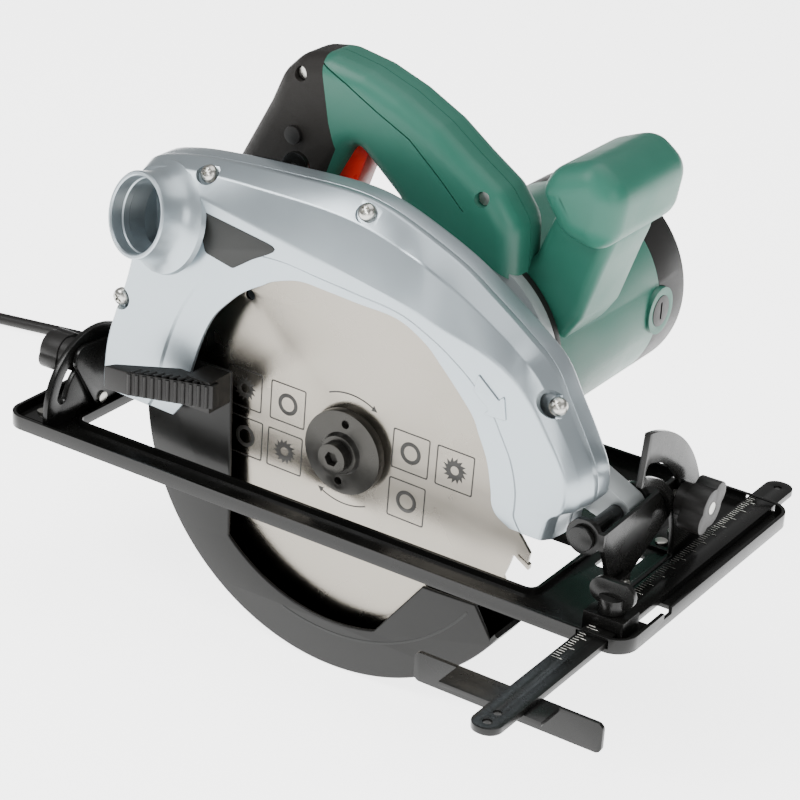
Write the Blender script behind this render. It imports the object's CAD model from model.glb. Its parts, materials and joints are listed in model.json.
import bpy, bmesh, json, math
from mathutils import Matrix, Vector


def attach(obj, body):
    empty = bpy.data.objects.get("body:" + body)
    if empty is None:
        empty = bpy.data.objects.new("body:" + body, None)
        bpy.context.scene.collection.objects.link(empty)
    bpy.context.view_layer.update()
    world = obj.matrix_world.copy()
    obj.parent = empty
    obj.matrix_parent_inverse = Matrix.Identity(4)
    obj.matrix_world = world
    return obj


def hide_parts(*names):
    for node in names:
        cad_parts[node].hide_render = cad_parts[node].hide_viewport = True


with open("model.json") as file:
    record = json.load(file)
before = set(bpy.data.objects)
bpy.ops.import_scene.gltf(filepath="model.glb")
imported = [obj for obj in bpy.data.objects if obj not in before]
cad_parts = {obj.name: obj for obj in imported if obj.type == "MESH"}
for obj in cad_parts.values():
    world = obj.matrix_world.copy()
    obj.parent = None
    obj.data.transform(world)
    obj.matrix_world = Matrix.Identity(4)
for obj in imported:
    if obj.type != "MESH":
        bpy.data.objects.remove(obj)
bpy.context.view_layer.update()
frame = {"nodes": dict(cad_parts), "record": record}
record = frame["record"]
nodeNames = list(frame["nodes"])
bodyOf = {n: b for b, ns in record["behaviour"]["bodies"].items() for n in ns}
slotOf = {s["node"]: s["material_slot"] for s in record["subparts"]}
bladeY, spindleZ = -70.0, 30.0  # blade plane and spindle height in the row frame, mm
print("frame loaded:", len(nodeNames), "nodes")


def place(x, y, z):
    return Vector((x / 1000, (y + bladeY) / 1000, (z + spindleZ) / 1000))


# ---- materials
def colour(text):
    parts = [int(text[i:i + 2], 16) / 255 for i in (0, 2, 4)]
    return [p / 12.92 if p <= 0.04045 else ((p + 0.055) / 1.055) ** 2.4 for p in parts] + [1]


def addNode(tree, kind, inputs=None, **settings):
    node = tree.nodes.new(kind)
    for key, value in settings.items():
        setattr(node, key, value)
    for key, value in (inputs or {}).items():
        if isinstance(value, bpy.types.NodeSocket):
            tree.links.new(value, node.inputs[key])
        else:
            node.inputs[key].default_value = value
    return node


def finish(name, base, dark, rough, metal=0.0, grainMm=0.6, bump=0.05, wearMm=25, coat=0.0, stretch=(1, 1, 1), spread=0.08, shine=0.5):
    mat = bpy.data.materials.new(name)
    mat.use_nodes = True
    tree = mat.node_tree
    shader = tree.nodes["Principled BSDF"]
    coord = addNode(tree, "ShaderNodeTexCoord")
    mapped = addNode(tree, "ShaderNodeMapping", {"Vector": coord.outputs["Object"], "Scale": stretch})
    wear = addNode(tree, "ShaderNodeTexNoise", {"Vector": mapped.outputs[0], "Scale": 1000 / wearMm, "Detail": 4.0, "Roughness": 0.6})
    grain = addNode(tree, "ShaderNodeTexNoise", {"Vector": mapped.outputs[0], "Scale": 1000 / grainMm, "Detail": 2.0})
    mix = addNode(tree, "ShaderNodeMix", {"Factor": wear.outputs["Fac"], "A": colour(dark), "B": colour(base)}, data_type="RGBA")
    mix.inputs[6].default_value, mix.inputs[7].default_value = colour(dark), colour(base)
    tree.links.new(mix.outputs[2], shader.inputs["Base Color"])
    span = addNode(tree, "ShaderNodeMapRange", {"Value": wear.outputs["Fac"], "From Min": 0.3, "From Max": 0.7, "To Min": rough - spread, "To Max": rough + spread})
    tree.links.new(span.outputs[0], shader.inputs["Roughness"])
    relief = addNode(tree, "ShaderNodeBump", {"Height": grain.outputs["Fac"], "Strength": bump * 4, "Distance": 0.0001})
    tree.links.new(relief.outputs[0], shader.inputs["Normal"])
    shader.inputs["Metallic"].default_value = metal
    shader.inputs["Coat Weight"].default_value = coat
    shader.inputs["Specular IOR Level"].default_value = shine
    shader.inputs["Coat Roughness"].default_value = 0.12
    return mat


mats = {
    "silver_paint": finish("silverPaint", "a3adb2", "949ea4", 0.32, 0.78, 0.35, 0.05, 60, 0.3, spread=0.03),
    "cast_alloy": finish("castAlloy", "b4b9ba", "9ea3a4", 0.42, 0.7, 0.5, 0.12, 20),
    "green_plastic": finish("greenNylon", "266051", "205647", 0.42, 0, 0.4, 0.16, 40, shine=0.35),
    "black_plastic": finish("blackNylon", "171615", "11100f", 0.44, 0, 0.4, 0.2, 30, shine=0.25),
    "soft_rubber": finish("softRubber", "1f1d1b", "181614", 0.6, 0, 0.5, 0.3, 30, shine=0.2),
    "cord_rubber": finish("cordRubber", "1b1a19", "141312", 0.5, 0, 0.6, 0.12, 40, shine=0.25),
    "red_plastic": finish("redNylon", "d92a20", "c4221a", 0.34, 0, 0.5, 0.05, 30),
    "black_steel": finish("blackEnamel", "111110", "0b0b0a", 0.26, 0, 1.5, 0.03, 30, 0.06, shine=0.22),
    "bright_steel": finish("zincSteel", "bdbcb7", "a3a29c", 0.3, 1, 0.3, 0.05, 8),
    "blade_steel": finish("sawSteel", "b0aba2", "9c978f", 0.3, 1, 0.25, 0.06, 45),
    "oxide_steel": finish("blackOxide", "3a3936", "2c2b29", 0.34, 0.8, 0.5, 0.08, 10),
    "gear_steel": finish("gearSteel", "97958f", "7f7d78", 0.3, 1, 0.4, 0.06, 10),
    "bearing_steel": finish("bearingSteel", "c6c6c4", "b2b2b0", 0.16, 1, 0.4, 0.02, 10),
    "lamination_steel": finish("lamination", "6f6f6c", "5c5c59", 0.45, 0.8, 0.4, 0.2, 10),
    "copper_wire": finish("copperWire", "b5693c", "94502a", 0.35, 0.9, 0.6, 0.3, 6),
    "bronze": finish("sinteredBronze", "9c7440", "84602f", 0.45, 0.9, 0.4, 0.2, 6),
    "brass_tube": finish("drawnBrass", "c2a052", "a98a40", 0.3, 1, 0.4, 0.05, 8),
    "carbon": finish("graphite", "2b2b2c", "1f1f20", 0.6, 0.1, 0.4, 0.2, 6),
}
whitePrint = finish("whitePrint", "d6d4cc", "cbc9c1", 0.5, 0.2, 0.5, 0.02, 20)
darkPatch = finish("darkPatch", "242524", "1e1f1e", 0.42, 0, 0.5, 0.08, 30, shine=0.2)
blackPrint = finish("blackPrint", "2a2926", "21201e", 0.45, 0.3, 0.5, 0.02, 20)
print("materials made")


# ---- making meshes
def newPiece(name, verts, faces, slot, smooth=35):
    mesh = bpy.data.meshes.new(name)
    mesh.from_pydata([tuple(v) for v in verts], [], faces)
    obj = bpy.data.objects.new(name, mesh)
    bpy.context.collection.objects.link(obj)
    return dress(obj, slot, smooth)


def dress(obj, slot, smooth=35):
    # welds, turns the faces outwards, shades and paints
    work = bmesh.new()
    work.from_mesh(obj.data)
    bmesh.ops.remove_doubles(work, verts=work.verts, dist=0.00001)
    bmesh.ops.recalc_face_normals(work, faces=work.faces)
    for face in work.faces:
        face.smooth = True
    for edge in work.edges:
        if len(edge.link_faces) == 2 and edge.calc_face_angle(0) > math.radians(smooth):
            edge.smooth = False
    work.to_mesh(obj.data)
    work.free()
    obj.data.materials.clear()
    obj.data.materials.append(mats[slot] if isinstance(slot, str) else slot)
    return obj


def rounded(points, radius, steps=4):
    # a closed outline with each corner turned into an arc
    out = []
    count = len(points)
    for i in range(count):
        a, b, c = (Vector(points[(i + k) % count]) for k in (-1, 0, 1))
        r = radius[i] if isinstance(radius, (list, tuple)) else radius
        u, v = (a - b), (c - b)
        reach = min(r / max(math.tan(u.angle(v) / 2), 0.05), u.length * 0.45, v.length * 0.45)
        p, q = b + u.normalized() * reach, b + v.normalized() * reach
        for k in range(steps + 1):
            t = k / steps
            out.append(tuple((1 - t) ** 2 * p + 2 * t * (1 - t) * b + t * t * q))
    return out


def slab(name, slot, outer, y0, y1, edge=1.0, holes=(), steps=3, smooth=35):
    # a plate with rounded edges: outlines in side view (x, z) from the spindle, standing between two distances from the blade
    curve = bpy.data.curves.new(name, "CURVE")
    curve.dimensions = "2D"
    curve.fill_mode = "BOTH"
    for loop in [outer, *holes]:
        line = curve.splines.new("POLY")
        line.points.add(len(loop) - 1)
        line.use_cyclic_u = True
        for point, (x, z) in zip(line.points, loop):
            point.co = (x, z, 0, 1)
    curve.extrude = (y1 - y0) / 2 - edge
    curve.bevel_depth = edge
    curve.bevel_resolution = steps
    curve.offset = -edge
    temp = bpy.data.objects.new(name, curve)
    bpy.context.collection.objects.link(temp)
    bpy.context.view_layer.update()
    mesh = bpy.data.meshes.new_from_object(temp.evaluated_get(bpy.context.evaluated_depsgraph_get()))
    bpy.data.objects.remove(temp)
    middle = (y0 + y1) / 2
    for vert in mesh.vertices:
        x, z, w = vert.co
        vert.co = place(x, middle - w, z)
    obj = bpy.data.objects.new(name, mesh)
    bpy.context.collection.objects.link(obj)
    return dress(obj, slot, smooth)


def lathe(name, slot, profile, centre, axis, sides=96, smooth=35):
    # profile is (radius, along) pairs in mm about an axis through centre; closed when it returns to its start
    axis = Vector(axis).normalized()
    side = axis.orthogonal().normalized()
    other = axis.cross(side)
    verts, faces = [], []
    for k in range(sides):
        turn = 2 * math.pi * k / sides
        for r, along in profile:
            verts.append(centre + (axis * along + (side * math.cos(turn) + other * math.sin(turn)) * r) / 1000)
    n = len(profile)
    for k in range(sides):
        for i in range(n):
            a, b = k * n + i, k * n + (i + 1) % n
            c, d = ((k + 1) % sides) * n + (i + 1) % n, ((k + 1) % sides) * n + i
            faces.append((a, b, c, d))
    return newPiece(name, verts, faces, slot, smooth)


def refined(node, edge=0.4, slot=None, angle=38):
    # the node's own shape with its edges eased
    source = frame["nodes"][node]
    obj = bpy.data.objects.new(node + "Eased", source.data.copy())
    bpy.context.collection.objects.link(obj)
    work = bmesh.new()
    work.from_mesh(obj.data)
    bmesh.ops.remove_doubles(work, verts=work.verts, dist=0.00001)
    bmesh.ops.dissolve_limit(work, angle_limit=math.radians(0.5), verts=work.verts, edges=work.edges)
    sharp = [e for e in work.edges if len(e.link_faces) == 2 and e.calc_face_angle(0) > math.radians(angle)]
    bmesh.ops.bevel(work, geom=sharp, offset=edge / 1000, segments=2, affect="EDGES", clamp_overlap=True, profile=0.6)
    bmesh.ops.triangulate(work, faces=[f for f in work.faces if len(f.verts) > 4])
    work.to_mesh(obj.data)
    work.free()
    dress(obj, slot or slotOf[node], 32)
    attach(obj, bodyOf[node])
    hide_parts(node)
    return obj


def settle(obj, node, *more, slot=None):
    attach(obj, bodyOf[node])
    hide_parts(node, *more)
    return obj


def trim(obj, body):
    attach(obj, body)
    return obj


# ---- cord: route points from the spindle in mm, then six turns of coil
cordPlan = {"size": 7.0, "coilRadius": 38.0, "turns": 6, "floor": -109.0}


def buildCord(plan):
    way = Vector((-18, 4, -62)).normalized()
    start = Vector((-103, 56, 66)) + way * 2
    route = [start, start + way * 20, start + way * 48, start + way * 76 + Vector((-1, 6, -1)), Vector((-140, 118, -15)), Vector((-158, 172, -20)),
             Vector((-186, 200, -72)), Vector((-212, 214, -106)), Vector((-240, 213, plan["floor"])), Vector((-300, 204.8, plan["floor"])),
             Vector((-385, 187.3, plan["floor"])), Vector((-470, 170, plan["floor"]))]
    run = (Vector((-470, 170, 0)) - Vector((-215, 222, 0))).normalized()
    inward = Vector((-run.y, run.x, 0))
    centre = Vector((-470, 170, 0)) + inward * (plan["coilRadius"] + 7)
    startTurn = math.atan2(-inward.y, -inward.x)
    rings = [38 + 7, 38, 38 - 7, 38 - 7, 38, 38 + 7]
    levels = [0, 0, 0, 7, 7, 7]
    perTurn = 14
    for k in range(1, plan["turns"] * perTurn):
        t = k / perTurn
        i, part = int(t), t - int(t)
        ahead = min(i + 1, 5)
        blend = max(0, part - 0.7) / 0.3
        r = rings[i] + (rings[ahead] - rings[i]) * blend
        up = levels[i] + (levels[ahead] - levels[i]) * blend
        turn = startTurn - 2 * math.pi * t * (1 if inward.cross(run).z < 0 else -1) * -1
        route.append(Vector((centre.x + r * math.cos(turn), centre.y + r * math.sin(turn), plan["floor"] + up)))
    curve = bpy.data.curves.new("cordLine", "CURVE")
    curve.dimensions = "3D"
    line = curve.splines.new("NURBS")
    line.points.add(len(route) - 1)
    for point, spot in zip(line.points, route):
        point.co = (*place(*spot), 1)
    line.order_u = 3
    line.use_endpoint_u = True
    curve.resolution_u = 10
    curve.bevel_depth = plan["size"] / 2000
    curve.bevel_resolution = 5
    curve.use_fill_caps = True
    obj = bpy.data.objects.new("cordLine", curve)
    bpy.context.collection.objects.link(obj)
    curve.materials.append(mats["cord_rubber"])
    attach(obj, "saw")
    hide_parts("cord_tube", "cord_coil")
    return obj, route[0]


cordLine, cordStart = buildCord(cordPlan)
print("cord laid")

# ---- every metal bracket and small part keeps its shape with eased edges
for node in ("base_plate", "front_quadrant", "rear_quadrant", "front_bracket", "rear_bracket", "guide_rule"):
    refined(node, 0.5)
for node in ("depth_pin", "rule_screw", "depth_lever", "outer_flange", "trigger", "gear_housing", "strain_relief", "plug"):
    refined(node, 0.7)
for node, obj in frame["nodes"].items():
    for item in obj.material_slots:
        item.material = mats[slotOf[node]]
print("brackets eased")

# ---- upper guard: pairs of points along the arch, in side view from the spindle
guardArch = {
    "opening": [(-91, -5), (-84, 5), (-81, 20), (-75, 39), (-68, 53), (-58, 64), (-53, 68.5), (-48, 72), (-41, 76), (-34, 80), (-20, 84), (-5, 83.5), (12, 82.3),
                (33, 81), (48, 74), (57, 66), (66, 57), (75, 47), (79, 39), (84, 28), (87, 15), (88, 8), (91, 3), (98, -1)],
    "crest": [(-134, -3), (-134, 6), (-132, 22), (-127, 38), (-121, 54), (-116, 74), (-115, 94), (-110, 106), (-96, 111.5), (-78, 110), (-48, 104.5), (-19, 99), (10, 94.5),
              (37, 89), (58, 83), (76, 79), (91, 73), (103, 63), (113, 50), (121, 38), (125, 27), (124, 16), (118, 10), (115, -1)],
    "ridge": [(-135.5, -3), (-135.5, 6), (-133.5, 22), (-129.5, 38), (-124.5, 54), (-119.5, 74), (-119.5, 98), (-118, 114), (-101, 120.5), (-75, 123.8), (-40, 126), (-8, 127.2), (12, 125),
              (33, 118), (56, 108), (73, 97.5), (90, 86), (105, 74), (115, 57.5), (124, 42), (130, 29), (130, 16), (121.5, 11.8), (118, -2.5)],
    "screws": [(-78, 118.5, -8.0), (8, 121.5, -5.5), (112, 59, -5.5), (-124, 47, -14.0)],
}


def along(points, t):
    # a smooth line through the points, t from 0 to 1
    last = len(points) - 1
    i = min(int(t * last), last - 1)
    f = t * last - i
    a, b, c, d = (Vector(points[min(max(i + k, 0), last)]) for k in (-1, 0, 1, 2))
    return 0.5 * (2 * b + (c - a) * f + (2 * a - 5 * b + 4 * c - d) * f * f + (3 * b - a - 3 * c + d) * f ** 3)


def archShell(name, slot, sectionAt, count=150):
    verts, faces = [], []
    for k in range(count + 1):
        ring = sectionAt(k / count)
        verts += [place(*p) for p in ring]
    n = len(ring)
    for k in range(count):
        for i in range(n):
            faces.append((k * n + i, k * n + (i + 1) % n, (k + 1) * n + (i + 1) % n, (k + 1) * n + i))
    faces.append(tuple(range(n)))
    faces.append(tuple(count * n + i for i in range(n)))
    return newPiece(name, verts, faces, slot, 28)


def coverSection(t):
    o, c, l = (along(guardArch[k], t) for k in ("opening", "crest", "ridge"))
    inC, inL = c + (o - c).normalized() * 2.2, l + (o - l).normalized() * 2.5
    step = o + (c - o) * 0.32
    wave = 1.1 * max(0, math.sin(t * 46)) ** 6 if 0.56 < t < 0.74 else 0
    mid = c + (l - c) * 0.72
    inMid = mid + (o - mid).normalized() * 2.3
    loop = [(o.x, -16.2, o.y), (step.x, -16.2, step.y), (step.x + (c - o).normalized().x * 1.5, -17, step.y + (c - o).normalized().y * 1.5), (c.x, -17, c.y),
            (mid.x, -10.8 - wave, mid.y + wave), (l.x, -1.5, l.y), (l.x, 1.9, l.y), (inL.x, 1.9, inL.y), (inMid.x, -9.9, inMid.y), (inC.x, -14, inC.y), (o.x, -14, o.y)]
    return rounded(loop, [0.5, 0.8, 0.8, 2.6, 3.0, 2.2, 0.4, 0.3, 0.5, 0.6, 0.5], 3)


def caseSection(t):
    o, l = along(guardArch["opening"], t), along(guardArch["ridge"], t)
    inL, low = l + (o - l).normalized() * 2.5, Vector((0, 0))
    far = l + (o - l).normalized() * 4
    inner = o * 0.3
    loop = [(l.x, 2.1, l.y), (l.x, 12.5, l.y), (far.x, 16.4, far.y), (inner.x, 16.4, inner.y), (inner.x, 14.1, inner.y), (inL.x, 14.1, inL.y), (inL.x, 2.1, inL.y)]
    return rounded(loop, [0.4, 2.5, 1.5, 0.4, 0.3, 0.4, 0.3], 3)


def carve(obj, cutters):
    # takes the cutters' shapes out of a piece and leaves a plain mesh
    for cutter in cutters:
        cut = obj.modifiers.new("cut", "BOOLEAN")
        cut.object, cut.operation, cut.solver = cutter, "DIFFERENCE", "EXACT"
    bpy.context.view_layer.update()
    mesh = bpy.data.meshes.new_from_object(obj.evaluated_get(bpy.context.evaluated_depsgraph_get()))
    obj.modifiers.clear()
    obj.data = mesh
    for cutter in cutters:
        bpy.data.objects.remove(cutter)
    return obj


portOut = Vector((-0.254, -0.931, 0.263)).normalized()
portRoot = place(-98, -14, 94)
coverShell = archShell("guardCover", "silver_paint", coverSection)
cutters = [lathe("portCut", "silver_paint", [(0, -9), (18, -9), (18, 24), (0, 24)], portRoot, portOut, 64)]
slope = Vector((0.05, -0.82, 0.57)).normalized()
for x, z, y in guardArch["screws"]:
    lean = slope if y > -10 else Vector((0, -1, 0))
    cutters.append(lathe("screwPocket", "silver_paint", [(0, 0), (5.4, 0), (6.4, 4), (7.4, 12), (0, 12)], place(x, y, z), lean, 40))
coverShell = dress(carve(coverShell, cutters), "silver_paint", 28)
settle(coverShell, "upper_guard_cover")
port = lathe("dustPort", "silver_paint", [(18, -1), (18, 8), (17.4, 8.6), (17.4, 12), (18, 12.6), (18.2, 18.4), (18.8, 19), (19.9, 19), (20.5, 18.4), (20.8, 9), (23, 4.5), (26.5, 1.5), (27, -1)],
             portRoot, portOut, 96, 30)
trim(port, "saw")
caseShell = settle(archShell("guardCase", "silver_paint", caseSection), "upper_guard_case")
hubPlate = slab("guardBackPlate", "silver_paint", rounded([(-92, 4), (-60, -8), (-24, -30), (24, -30), (60, -8), (92, 4), (84, 30), (60, 64), (0, 84), (-60, 64), (-84, 30)], 10), 14, 16.4, 0.5,
                [[(22.3 * math.cos(a * math.pi / 24), 22.3 * math.sin(a * math.pi / 24)) for a in range(48)]])
trim(hubPlate, "saw")


def crossScrew(name, spot, way, r, body, slot="bright_steel"):
    # domed head with a cross recess
    way = Vector(way).normalized()
    head = lathe(name, slot, [(0, r * 0.62), (r * 0.5, r * 0.56), (r * 0.86, r * 0.34), (r, 0.05 * r), (r, -0.4 * r), (0, -0.4 * r)], spot, way, 32, 50)
    side = way.orthogonal().normalized()
    bars = []
    for k in range(2):
        a = side if k == 0 else way.cross(side)
        b = way.cross(a)
        corners = [(a * i * r * 0.55 + b * j * r * 0.13 + way * h * r) / 1000 + spot for h in (0.25, 1.2) for i, j in ((-1, -1), (1, -1), (1, 1), (-1, 1))]
        bars.append(newPiece("bar", corners, [(0, 1, 2, 3), (4, 5, 6, 7), (0, 1, 5, 4), (1, 2, 6, 5), (2, 3, 7, 6), (3, 0, 4, 7)], slot))
    return dress(carve(head, bars), slot, 40)


screwHeads = []
for i, (x, z, y) in enumerate(guardArch["screws"]):
    lean = slope if y > -10 else Vector((0, -1, 0))
    screwHeads.append(crossScrew(f"coverScrew{i}", place(x, y, z) + lean * 0.0016, lean, 4.2, "saw"))
    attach(screwHeads[-1], "saw")
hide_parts("guard_screws")

labelShape = rounded([(-79, 104.5), (-30, 96.8), (-46, 88), (-57, 80.5), (-73, 84)], 3)
trim(slab("coverPatch", darkPatch, labelShape, -17.35, -16.9, 0.12), "saw")
arrowShape = [(84, 62), (95, 62), (95, 66), (104, 58), (95, 50), (95, 54), (80, 54)]
arrowShape = [(78 + (x - 84) * 0.75 - (z - 58) * 0.62, 47 - (x - 84) * 0.62 - (z - 58) * 0.75 + 16) for x, z in arrowShape]
trim(slab("turnArrow", "silver_paint", rounded(arrowShape, 0.8), -17.7, -16.5, 0.4), "saw")
print("upper guard made")

# ---- lower guard
guardRim = {"outer": 112.4, "window": 88.0, "from": -33, "to": -192}


def arc(r, a0, a1, steps):
    return [(r * math.cos(math.radians(a0 + (a1 - a0) * k / steps)), r * math.sin(math.radians(a0 + (a1 - a0) * k / steps))) for k in range(steps + 1)]


def buildLowerGuard(plan):
    nearOuter = arc(plan["outer"], plan["from"] - 3.5, plan["to"], 90)
    nearInner = [(-62, 24), *arc(plan["window"], -134, -73, 40), (51, -51), (80, -50)]
    near = slab("guardNearWall", blackGuard, nearOuter + nearInner, -9.5, -7.5, 0.9, steps=3)
    farHole = arc(22.2, 0, 360, 60)[:-1]
    far = slab("guardFarWall", blackGuard, arc(plan["outer"], plan["from"], plan["to"], 90) + [(-28, 16), (-20, 24), (0, 29), (20, 22), (29, 4)], 10.4, 12.5, 0.9, [farHole])
    rim = [(112.4, -8.8), (112.0, -9.4), (111, -9.5), (110, -9), (110, 12), (111, 12.5), (112, 12.4), (112.4, 11.8)]
    verts, faces, n, count = [], [], len(rim), 120
    for k in range(count + 1):
        a = math.radians(plan["from"] - 1 + (plan["to"] + 1 - plan["from"]) * k / count)
        verts += [place(r * math.cos(a), y, r * math.sin(a)) for r, y in rim]
    for k in range(count):
        for i in range(n):
            faces.append((k * n + i, k * n + (i + 1) % n, (k + 1) * n + (i + 1) % n, (k + 1) * n + i))
    faces += [tuple(range(n)), tuple(count * n + i for i in range(n))]
    edge = newPiece("guardRim", verts, faces, blackGuard, 30)
    groove = slab("guardGroove", darkPatch, arc(94.8, -36, -107, 60) + arc(93.6, -107, -36, 60), -9.62, -9.4, 0.08)
    for piece in (near, far, edge, groove):
        trim(piece, "lower_guard_set")
    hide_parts("lower_guard")


blackGuard = finish("guardEnamel", "171716", "10100f", 0.34, 0, 0.5, 0.08, 40, 0.04, shine=0.2)
buildLowerGuard(guardRim)
print("lower guard made")

# ---- rear handle: outlines in side view from the spindle
handleShape = {
    "outer": [(-110, 64), (-110, 92), (-84, 140), (-77, 156), (-66, 167), (-50, 169.6), (-29, 166), (-9, 159), (11, 149), (28, 137), (45, 126), (56, 112), (57, 66), (-20, 62)],
    "window": [(-34, 131), (-9, 110), (-5, 103), (-24, 89), (-60, 84)],
    "seam": [(-54, 166), (-38, 159), (-21, 150), (-2, 141), (15, 127), (29, 114)],
    "palm": [(-118, 56), (-118, 90), (-90, 142), (-82, 160), (-70, 172), (-54, 174), (-47, 138), (-43, 126), (-52, 104), (-58, 84), (-62, 56)],
    "screws": [(38, 122), (-84, 71), (-64, 158)],
    "trim": [(-90, 107.6), (-63, 108.6), (-62, 113.4), (-76, 113.8), (-88, 112.6)],
}


def prism(outline, y0, y1):
    n = len(outline)
    verts = [place(x, y, z) for y in (y0, y1) for x, z in outline]
    faces = [tuple(range(n)), tuple(range(n, 2 * n))] + [(i, (i + 1) % n, n + (i + 1) % n, n + i) for i in range(n)]
    return newPiece("cutter", verts, faces, "bright_steel")


def shareOf(obj, name, region, y0, y1):
    # the part of a piece that lies inside a prism
    part = obj.copy()
    part.data, part.name = obj.data.copy(), name
    bpy.context.collection.objects.link(part)
    keep = prism(region, y0, y1)
    cut = part.modifiers.new("keep", "BOOLEAN")
    cut.object, cut.operation, cut.solver = keep, "INTERSECT", "EXACT"
    bpy.context.view_layer.update()
    mesh = bpy.data.meshes.new_from_object(part.evaluated_get(bpy.context.evaluated_depsgraph_get()))
    part.modifiers.clear()
    part.data = mesh
    bpy.data.objects.remove(keep)
    return part


def motorSpace():
    return lathe("motorSpace", "cast_alloy", [(0, 20), (51.8, 20), (51.8, 170), (0, 170)], place(25.77, 0, 43.57), (0, 1, 0), 72)


def thickLine(points, half):
    left, right = [], []
    for i, p in enumerate(points):
        a, b = Vector(points[max(i - 1, 0)]), Vector(points[min(i + 1, len(points) - 1)])
        out = Vector((-(b - a).y, (b - a).x)).normalized() * half
        left.append(tuple(Vector(p) + out))
        right.append(tuple(Vector(p) - out))
    return left + right[::-1]


def buildHandle(plan):
    body = slab("handleBody", "green_plastic", rounded(plan["outer"], 16, 5), 40, 72, 9.5, [rounded(plan["window"], 6, 4)], 6)
    around = [(-200, 0), (-200, 240), (120, 240), (120, 0)]
    palm = shareOf(body, "gripOvermould", plan["palm"], 39, 73)
    body = carve(body, [prism(plan["palm"], 30, 80), motorSpace()])
    near = shareOf(body, "handleNear", around, 30, 55.75)
    far = shareOf(body, "handleFar", around, 56.15, 80)
    bpy.data.objects.remove(body)
    pockets = [lathe("pocket", "green_plastic", [(0, 30), (3.6, 30), (3.6, 46.4), (0, 46.4)], place(x, 0, z), (0, 1, 0), 32) for x, z in plan["screws"]]
    near = carve(near, [prism(thickLine(plan["seam"], 0.35), 36, 48), pockets[0]])
    palm = carve(palm, pockets[1:])
    settle(dress(near, "green_plastic", 40), "handle_near_shell", "handle_top_strip")
    settle(dress(far, "green_plastic", 40), "handle_far_shell")
    settle(dress(palm, "soft_rubber", 40), "grip_overmould")
    trim(slab("legTrim", "black_steel", rounded(plan["trim"], 1.5), 39.9, 46, 1.2), "saw")


buildHandle(handleShape)
print("handle made")

# ---- front grip: a rounded bulb on a neck that stands on the motor
bulbLine = [(65, 133), (70, 144), (92, 153), (108.6, 141), (105, 118), (96, 110.4), (78, 114)]
bulbLine = rounded(bulbLine, 14, 6)
bulb = slab("frontBulb", "green_plastic", bulbLine, 38.8, 109, 12, steps=9)
settle(bulb, "front_grip")
neckLine = rounded([(46, 84), (58, 96), (68, 122), (100, 118), (93, 98), (84, 70), (72, 52)], 8)
neck = carve(slab("frontNeck", "green_plastic", neckLine, 56, 98, 6, steps=5), [motorSpace()])
trim(dress(neck, "green_plastic", 40), "saw")
print("front grip made")

# ---- motor and the rest of the small pieces keep their own shapes
for node in ("motor_housing", "end_cap", "bearing_plate", "brush_caps", "guard_lever", "front_knob", "rear_knob", "switch_body"):
    refined(node, 0.8)
for node in ("blade_bolt", "lock_button", "base_rivets", "tilt_pins", "tilt_studs", "case_screws", "guard_clip", "reducer_ring", "inner_flange", "spindle"):
    refined(node, 0.3)
for vert in bpy.data.objects["case_screwsEased"].data.vertices:
    if vert.co.y < place(0, 53.9, 0).y:
        vert.co.y += 0.003
print("motor made")

# ---- blade: rings of fine brushing about the spindle
def brushedSteel():
    mat = finish("brushedBlade", "948f86", "837e75", 0.26, 1, 0.3, 0.0, 60)
    tree = mat.node_tree
    shader = tree.nodes["Principled BSDF"]
    coord = addNode(tree, "ShaderNodeTexCoord")
    arm = addNode(tree, "ShaderNodeVectorMath", {0: coord.outputs["Object"], 1: (0, -0.07, 0.03)}, operation="SUBTRACT")
    length = addNode(tree, "ShaderNodeVectorMath", {0: arm.outputs[0]}, operation="LENGTH")
    scaled = addNode(tree, "ShaderNodeMath", {0: length.outputs["Value"], 1: 5200.0}, operation="MULTIPLY")
    rings = addNode(tree, "ShaderNodeTexNoise", {"W": scaled.outputs[0], "Scale": 1.0, "Detail": 3.0}, noise_dimensions="1D")
    around = addNode(tree, "ShaderNodeVectorMath", {0: arm.outputs[0], 1: (0, 1, 0)}, operation="CROSS_PRODUCT")
    relief = addNode(tree, "ShaderNodeBump", {"Height": rings.outputs["Fac"], "Strength": 0.25, "Distance": 0.00004})
    tree.links.new(relief.outputs[0], shader.inputs["Normal"])
    tree.links.new(around.outputs[0], shader.inputs["Tangent"])
    shader.inputs["Anisotropic"].default_value = 0.9
    return mat


bladePiece = refined("blade", 0.1)
bladePiece.data.materials[0] = brushedSteel()
squares = [(-34.7, 12.3), (-35.7, -12.7), (34.9, 9.3), (59, 8.5), (34, -15.9), (-60, 13), (-59, -12)]
lean = math.radians(-1.4)


def onBlade(points, centre):
    return [(centre[0] + x * math.cos(lean) - z * math.sin(lean), centre[1] + x * math.sin(lean) + z * math.cos(lean)) for x, z in points]


def cog(inner, outer, teeth):
    points = []
    for k in range(teeth):
        for r, part in ((inner, 0), (outer, 0.15), (inner, 0.9)):
            a = 2 * math.pi * (k + part) / teeth
            points.append((r * math.cos(a), r * math.sin(a)))
    return points


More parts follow.
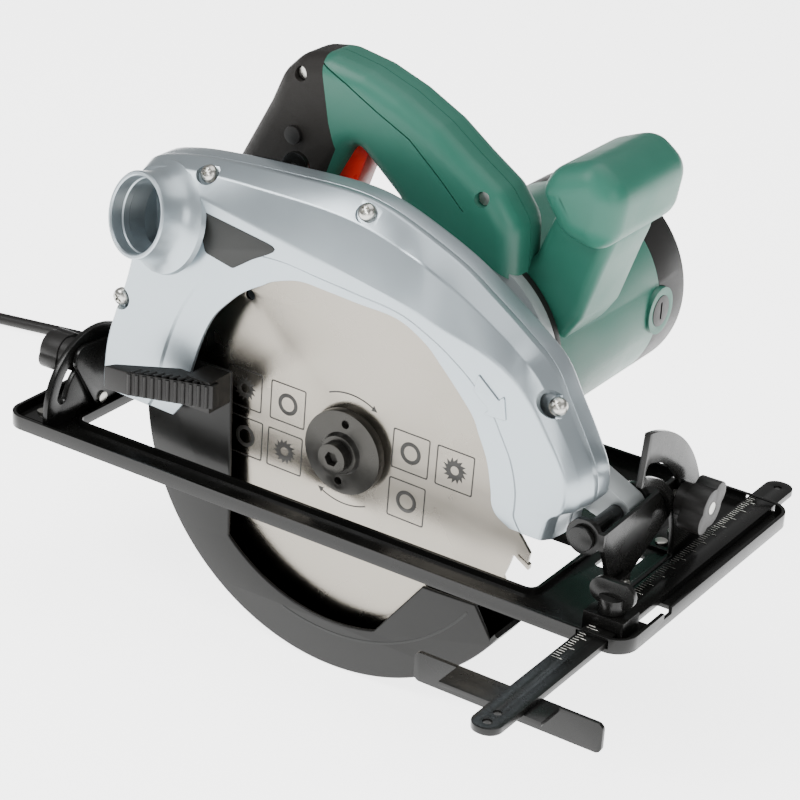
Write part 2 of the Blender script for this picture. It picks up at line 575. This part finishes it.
printed = 0
for i, centre in enumerate(squares):
    outer, inner = ([(-h, -h), (h, -h), (h, h), (-h, h)] for h in (10.2, 9.5))
    shapes = [(rounded(outer, 1.2), [rounded(inner, 0.8)])]
    if i % 2 == 0:
        shapes.append((arc(5.6, 0, 360, 36)[:-1], [arc(3.6, 0, 360, 36)[:-1]]))
    else:
        shapes.append((cog(4.6, 6.6, 14), [arc(2.2, 0, 360, 24)[:-1]]))
    for line, holes in shapes:
        trim(slab(f"bladePrint{printed}", blackPrint, onBlade(line, centre), -0.96, -0.88, 0.02, [onBlade(h, centre) for h in holes], steps=1), "blade_set")
        printed += 1
for start in (62, 242):
    sweep = arc(28.9, start, start + 52, 24) + arc(28.2, start + 52, start, 24)
    trim(slab(f"turnLine{start}", blackPrint, sweep, -0.96, -0.88, 0.02, steps=1), "blade_set")
    tip = [(28.55 * math.cos(math.radians(start - 5)), 28.55 * math.sin(math.radians(start - 5))), arc(30.2, start + 1, start + 1, 1)[0], arc(26.9, start + 1, start + 1, 1)[0]]
    trim(slab(f"turnTip{start}", blackPrint, tip, -0.96, -0.88, 0.02, steps=1), "blade_set")
print("blade made")

# ---- rows of ribs and scale marks
def rowTree():
    # a swept bar, repeated along a line
    tree = bpy.data.node_groups.new("rowOfBars", "GeometryNodeTree")
    ids = {}
    for label, kind in (("Count", "NodeSocketInt"), ("Start", "NodeSocketVector"), ("Step", "NodeSocketVector"), ("Bar", "NodeSocketVector"),
                        ("Radius", "NodeSocketFloat"), ("Paint", "NodeSocketMaterial")):
        ids[label] = tree.interface.new_socket(label, in_out="INPUT", socket_type=kind).identifier
    tree.interface.new_socket("Geometry", in_out="OUTPUT", socket_type="NodeSocketGeometry")
    given = tree.nodes.new("NodeGroupInput")
    line = addNode(tree, "GeometryNodeMeshLine", {"Count": given.outputs["Count"], "Start Location": given.outputs["Start"], "Offset": given.outputs["Step"]}, mode="OFFSET")
    path = addNode(tree, "GeometryNodeCurvePrimitiveLine", {"End": given.outputs["Bar"]})
    ring = addNode(tree, "GeometryNodeCurvePrimitiveCircle", {"Radius": given.outputs["Radius"], "Resolution": 12})
    bar = addNode(tree, "GeometryNodeCurveToMesh", {"Curve": path.outputs[0], "Profile Curve": ring.outputs[0], "Fill Caps": True})
    copies = addNode(tree, "GeometryNodeInstanceOnPoints", {"Points": line.outputs[0], "Instance": bar.outputs[0]})
    real = addNode(tree, "GeometryNodeRealizeInstances", {"Geometry": copies.outputs[0]})
    painted = addNode(tree, "GeometryNodeSetMaterial", {"Geometry": real.outputs[0], "Material": given.outputs["Paint"]})
    done = tree.nodes.new("NodeGroupOutput")
    tree.links.new(painted.outputs[0], done.inputs[0])
    return tree, ids


barTree, barIds = rowTree()


def row(name, body, count, start, step, bar, radius, paint):
    holder = bpy.data.objects.new(name, bpy.data.meshes.new(name))
    bpy.context.collection.objects.link(holder)
    made = holder.modifiers.new("row", "NODES")
    made.node_group = barTree
    for label, value in (("Count", count), ("Start", tuple(start)), ("Step", tuple(Vector(step) / 1000)), ("Bar", tuple(Vector(bar) / 1000)), ("Radius", radius / 1000), ("Paint", paint)):
        made[barIds[label]] = value
    bpy.context.view_layer.update()
    mesh = bpy.data.meshes.new_from_object(holder.evaluated_get(bpy.context.evaluated_depsgraph_get()))
    holder.modifiers.clear()
    holder.data = mesh
    dress(holder, paint, 50)
    trim(holder, body)
    return holder


leverWay = (-3.6, -1.27, 0)
row("leverRibsNear", "lower_guard_set", 11, place(-63, -26.9, 11.6), leverWay, (0, 0, 10.8), 1.1, mats["black_plastic"])
row("leverRibsTop", "lower_guard_set", 10, place(-66, -27.4, 22.6), (-3.6, -1.27, 0), (1.6, 5.4, 0), 1.0, mats["black_plastic"])
rulePaint = mats["bright_steel"]
ruleTop = -24.66
for gap, reach in ((2, 3.0), (10, 5.5)):
    row(f"ruleMarks{gap}", "rule", int(190 / gap), place(149.6, -62, ruleTop), (0, gap, 0), (reach, 0, 0), 0.16, rulePaint)
print("rows made")

#PIECES

# ---- studio
def addLight(name, spot, size, power, target=(0, 0, 0.05), tint=(1, 1, 1)):
    data = bpy.data.lights.new(name, "AREA")
    data.energy, data.size, data.color = power, size, tint
    obj = bpy.data.objects.new(name, data)
    obj.location = spot
    obj.rotation_euler = (Vector(target) - Vector(spot)).to_track_quat("-Z", "Y").to_euler()
    bpy.context.collection.objects.link(obj)


addLight("keySoft", (-0.9, -1.2, 1.7), 1.0, 40)
addLight("fillSoft", (1.6, -0.9, 0.9), 1.0, 14)
addLight("topSoft", (0.1, 0.4, 1.9), 1.8, 26)
addLight("lowFront", (0.2, -1.8, 0.25), 1.2, 8)
world = bpy.data.worlds.new("softRoom")
world.use_nodes = True
world.node_tree.nodes["Background"].inputs["Color"].default_value = (1, 1, 1, 1)
world.node_tree.nodes["Background"].inputs["Strength"].default_value = 0.35
bpy.context.scene.world = world

floorMesh = bpy.data.meshes.new("floor")
floorMesh.from_pydata([(-6, -6, -0.0829), (6, -6, -0.0829), (6, 6, -0.0829), (-6, 6, -0.0829)], [], [(0, 1, 2, 3)])
floor = bpy.data.objects.new("floor", floorMesh)
bpy.context.collection.objects.link(floor)
paleFloor = finish("paleFloor", "f6f6f5", "f2f2f0", 0.8, 0, 3, 0.0, 400)
paleFloor.node_tree.nodes["Principled BSDF"].inputs["Emission Color"].default_value = (1, 1, 1, 1)
paleFloor.node_tree.nodes["Principled BSDF"].inputs["Emission Strength"].default_value = 3.4
floorMesh.materials.append(paleFloor)

camera = bpy.data.objects.new("camera", bpy.data.cameras.new("camera"))
camera.data.lens, camera.data.sensor_width = 113.3, 36
right, up, back = (0.82753524, 0.55884869, 0.05360559), (-0.28204014, 0.33127385, 0.90039491), (0.48542639, -0.76022745, 0.43175855)
turn = Matrix((right, up, back)).transposed().to_4x4()
camera.matrix_world = Matrix.Translation((0.58216, -0.93962, 0.55757)) @ turn
bpy.context.collection.objects.link(camera)
bpy.context.scene.camera = camera
